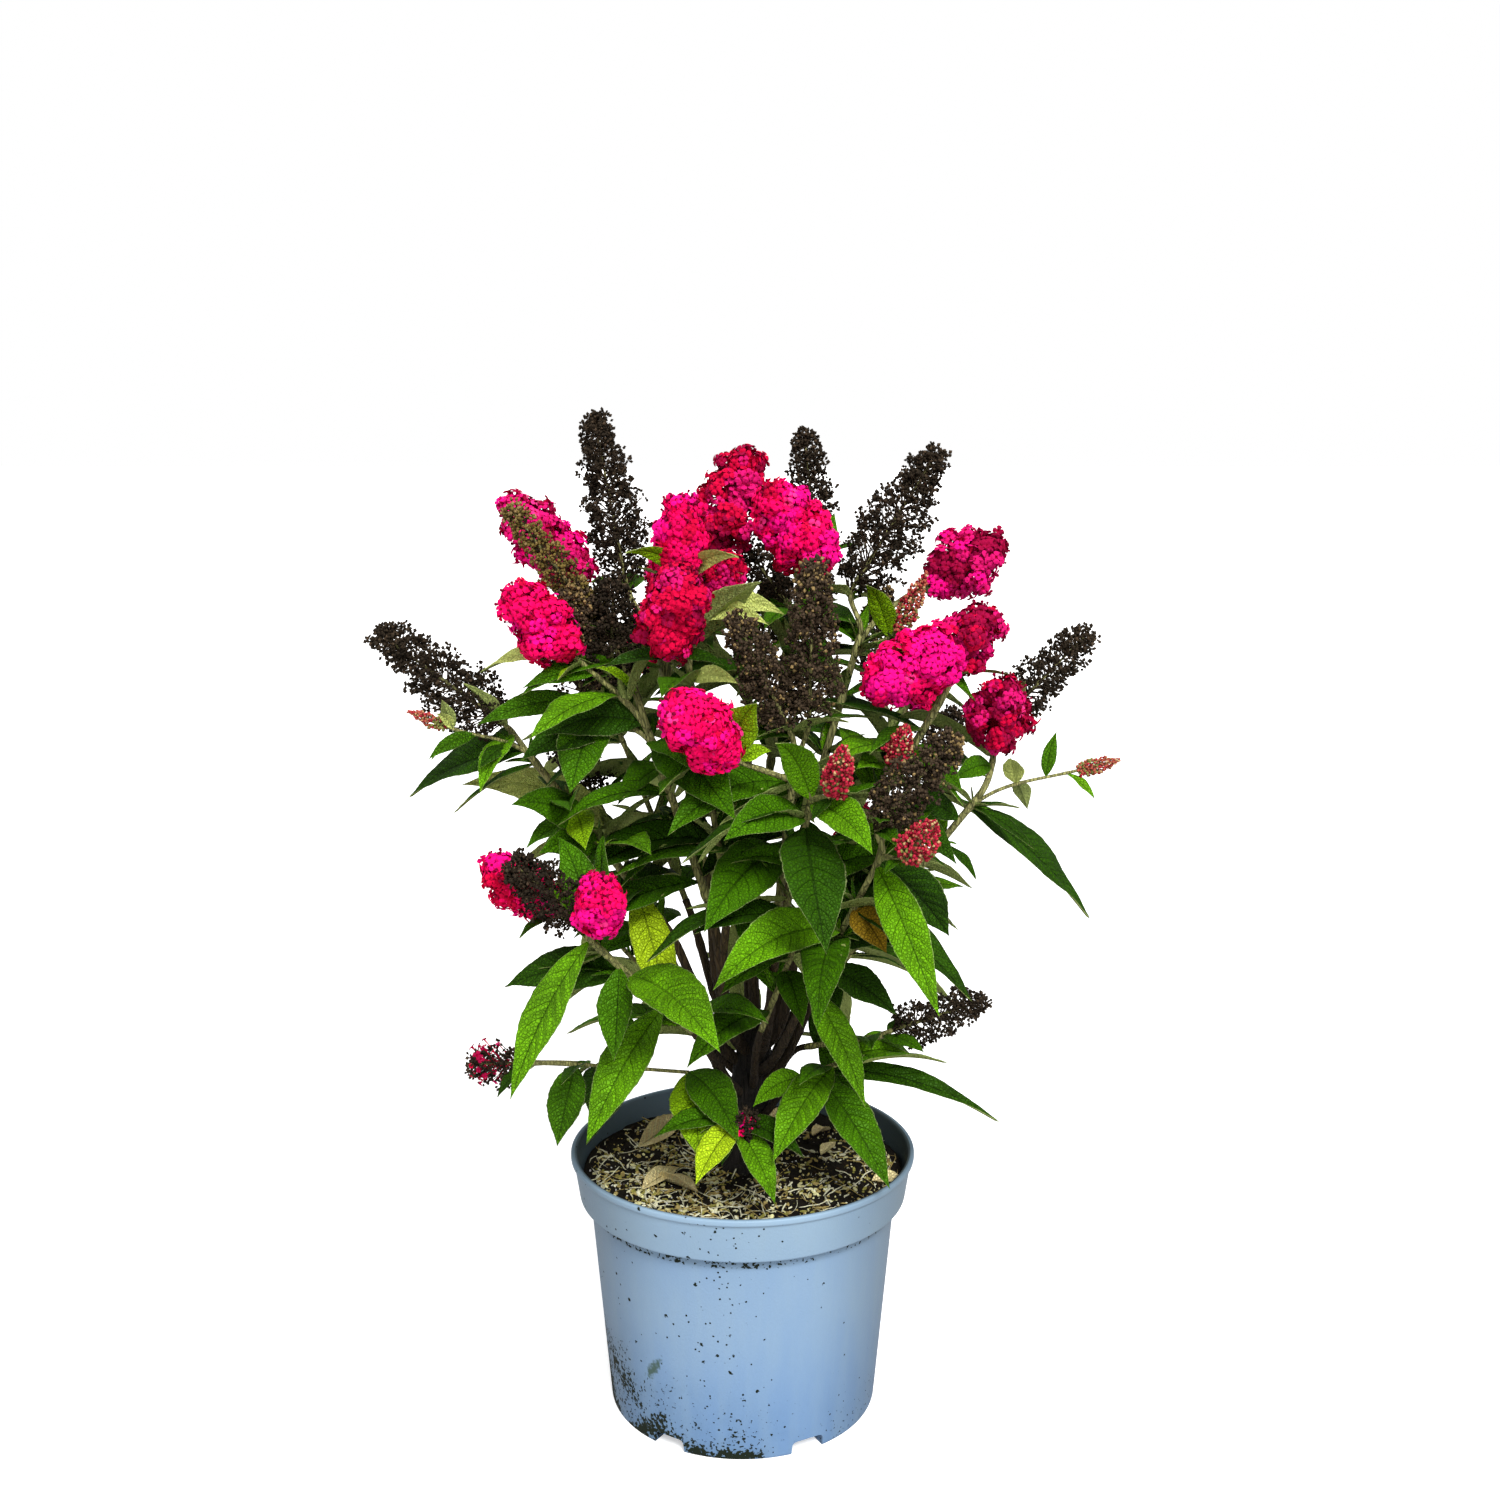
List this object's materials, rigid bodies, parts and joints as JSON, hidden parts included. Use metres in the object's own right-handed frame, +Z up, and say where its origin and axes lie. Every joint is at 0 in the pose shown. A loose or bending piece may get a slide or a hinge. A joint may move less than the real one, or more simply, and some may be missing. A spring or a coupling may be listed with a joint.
{
  "type": "potted dwarf butterfly bush",
  "caption": "Dwarf butterfly bush in flower in a round nursery pot: upright leafy stems that carry magenta flower spikes, spent brown spikes and closed buds.",
  "frame": {"origin": "centre of the pot's flat underside, on the surface that the pot stands on", "axes": "+Z up along the plant's height; -Y towards the front, where the pictured side of the plant is; +X to the right seen from the front"},
  "size_m": [0.386, 0.302, 0.548],
  "materials": {
    "pot": "satin, weathered",
    "soil": "coarse damp peat compost with bark fibres",
    "bark": "dull, finely grooved bark",
    "foliage": "soft leaves with a slight sheen"
  },
  "bodies": {
    "root": {"pot": "pot", "soil": "soil", "trunk": "bark", "bough_foot_front": "bark", "bough_foot_left": "bark", "bough_foot_right": "bark", "bough_foot_back": "bark", "bough_low_right": "bark", "bough_low_left": "bark", "bough_low_back_left": "bark", "bough_low_back_right": "bark", "bough_front_low": "bark", "bough_front_right": "bark", "bough_outer_right": "bark", "bough_side_right": "bark", "bough_side_left": "bark", "bough_mid_left": "bark", "bough_back_right": "bark", "bough_back_left": "bark", "bough_centre": "bark", "bough_upper_left": "bark", "bough_right": "bark", "bough_back_centre": "bark", "bough_upper_right": "bark", "bough_top_left": "bark", "bough_top_centre": "bark", "bough_front_centre": "bark", "bough_upper_centre": "bark", "foliage_foot_front": "foliage", "foliage_foot_left": "foliage", "foliage_foot_right": "foliage", "foliage_foot_back": "foliage", "foliage_low_right": "foliage", "foliage_low_left": "foliage", "foliage_low_back_left": "foliage", "foliage_low_back_right": "foliage", "foliage_front_low": "foliage", "foliage_front_right": "foliage", "foliage_outer_right": "foliage", "foliage_side_right": "foliage", "foliage_side_left": "foliage", "foliage_mid_left": "foliage", "foliage_back_right": "foliage", "foliage_back_left": "foliage", "foliage_centre": "foliage", "foliage_upper_left": "foliage", "foliage_right": "foliage", "foliage_back_centre": "foliage", "foliage_upper_right": "foliage", "foliage_top_left": "foliage", "foliage_top_centre": "foliage", "foliage_front_centre": "foliage", "foliage_upper_centre": "foliage"}
  },
  "joints": []
}
